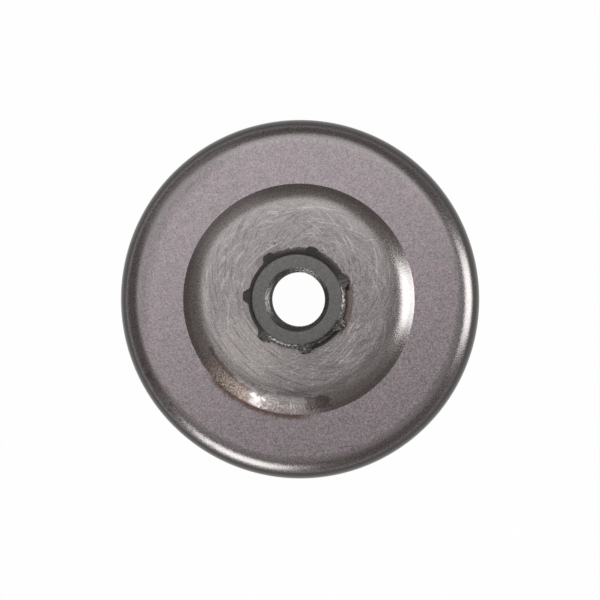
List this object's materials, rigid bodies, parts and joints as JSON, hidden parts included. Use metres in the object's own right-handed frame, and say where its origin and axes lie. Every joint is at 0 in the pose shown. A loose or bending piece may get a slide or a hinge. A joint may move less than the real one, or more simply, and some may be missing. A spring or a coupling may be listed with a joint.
{
  "type": "clutch drum",
  "caption": "Cup-shaped steel clutch drum with a rounded rim corner, a raised centre and a short splined hub with a countersunk through bore, for a centrifugal clutch.",
  "frame": {"origin": "centre of the open rim, on the drum's axis, in the plane that it rests on", "axes": "+Z along the drum's axis from the open rim to the closed face and the hub; +X is the picture's right"},
  "size_m": [0.076, 0.076, 0.0282],
  "materials": {
    "drawn_steel": "satin drawn steel with fine grain, sanded swirls on the raised centre and a copper braze stain",
    "sintered_steel": "matte dark sintered steel with a worn bright countersink"
  },
  "bodies": {
    "root": {"drum_cup": "drawn_steel", "spline_hub": "sintered_steel"}
  },
  "joints": []
}
